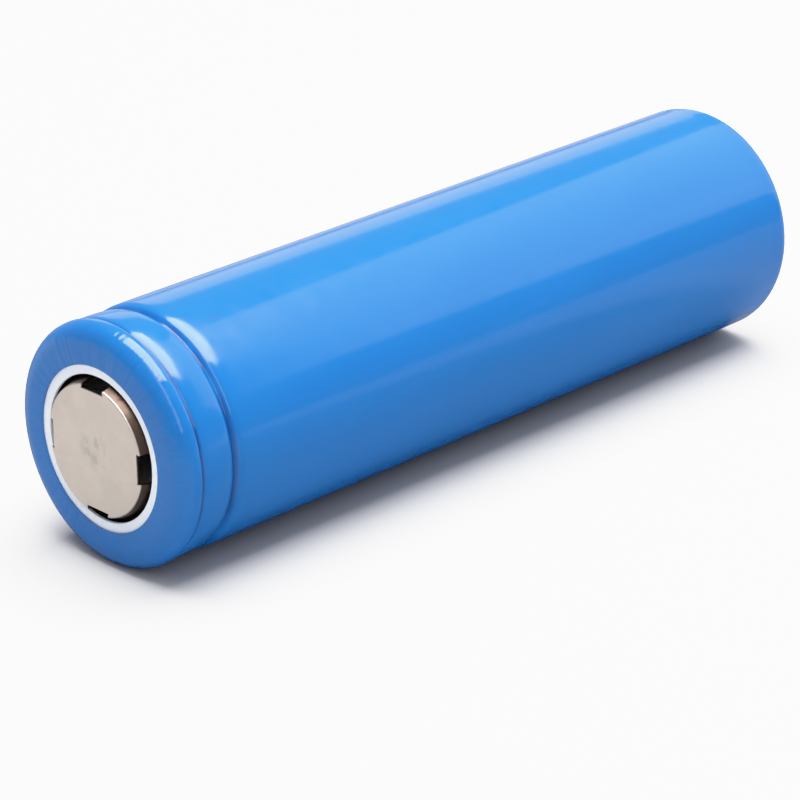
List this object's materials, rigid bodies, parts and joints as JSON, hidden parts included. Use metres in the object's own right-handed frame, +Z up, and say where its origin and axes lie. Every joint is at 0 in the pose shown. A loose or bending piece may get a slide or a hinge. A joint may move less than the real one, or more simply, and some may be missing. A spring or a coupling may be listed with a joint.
{
  "type": "cylindrical battery cell",
  "caption": "Sleeved cylindrical rechargeable cell with a raised flat metal cap, a vented closure and a wound electrode roll.",
  "frame": {"origin": "on the surface the cell lies on, under the middle of its length", "axes": "+Y along the cell's axis from the positive cap to the negative bottom, +Z up, +X to the right of someone who looks along +Y"},
  "size_m": [0.0184, 0.0652, 0.0184],
  "materials": {
    "shrink_film": "glossy blue heat-shrunk film",
    "white_fibre": "matte white pressed fibre",
    "nickel_plate": "satin nickel plate on steel",
    "natural_plastic": "uncoloured moulded polypropylene",
    "black_polymer": "matte carbon-filled polymer",
    "aluminium": "rolled aluminium",
    "amber_tape": "amber adhesive tape",
    "separator_film": "white microporous film",
    "copper_foil": "bright copper foil",
    "graphite_coating": "matte dark grey coating",
    "oxide_coating": "matte black coating",
    "green_tape": "green adhesive tape"
  },
  "bodies": {
    "cell": {"sleeve": "shrink_film", "top_washer": "white_fibre", "steel_can": "nickel_plate", "gasket": "natural_plastic", "positive_cap": "nickel_plate", "ptc_front_plate": "nickel_plate", "ptc_polymer": "black_polymer", "ptc_rear_plate": "nickel_plate", "vent_disc": "aluminium", "cid_insulator": "natural_plastic", "cid_plate": "aluminium", "top_insulator": "white_fibre", "positive_tab": "aluminium", "positive_tab_tape": "amber_tape", "bottom_insulator": "white_fibre", "negative_tab": "nickel_plate", "negative_tab_tape": "amber_tape", "separator_inner": "separator_film", "anode_coating_inner": "graphite_coating", "anode_foil": "copper_foil", "anode_coating_outer": "graphite_coating", "separator_outer": "separator_film", "cathode_coating_inner": "oxide_coating", "cathode_foil": "aluminium", "cathode_coating_outer": "oxide_coating", "roll_tape": "green_tape", "center_pin": "nickel_plate"},
    "vent": {"vent_dome": "aluminium"}
  },
  "joints": [
    {"name": "vent_snap", "type": "slide", "parent": "cell", "child": "vent", "axis": [0, -1, 0], "range_m": [0, 0.0008]}
  ]
}
